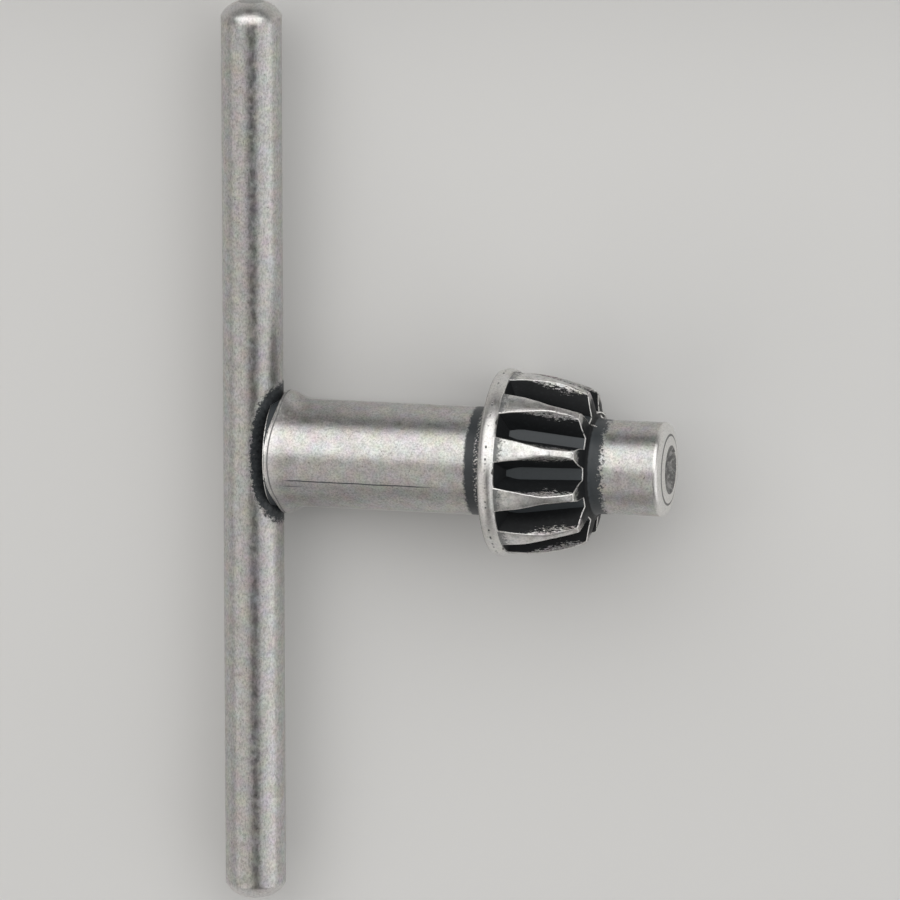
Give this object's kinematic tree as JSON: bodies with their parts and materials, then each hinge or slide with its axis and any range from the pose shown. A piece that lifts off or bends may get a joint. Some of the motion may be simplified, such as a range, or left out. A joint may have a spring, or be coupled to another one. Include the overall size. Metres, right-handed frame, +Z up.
{
  "type": "drill chuck key",
  "caption": "T-handled chuck key: a round handle bar welded across a turned body with a rim, a tapered pinion and a pilot pin, lying at rest.",
  "frame": {"origin": "on the ground, at the middle of the box around the key as it lies", "axes": "+Z up, handle bar level along Y, key body pointing to +X and rising slightly from its flare to its rim"},
  "size_m": [0.0302, 0.06, 0.0122],
  "materials": {
    "bar_steel": "tumbled bright steel with a dark oxide band at the weld",
    "body_steel": "tumbled bright steel with dark heat-treatment oxide left in the tooth gaps and recesses"
  },
  "bodies": {
    "root": {"handle_bar": "bar_steel", "key_body": "body_steel"}
  },
  "joints": []
}
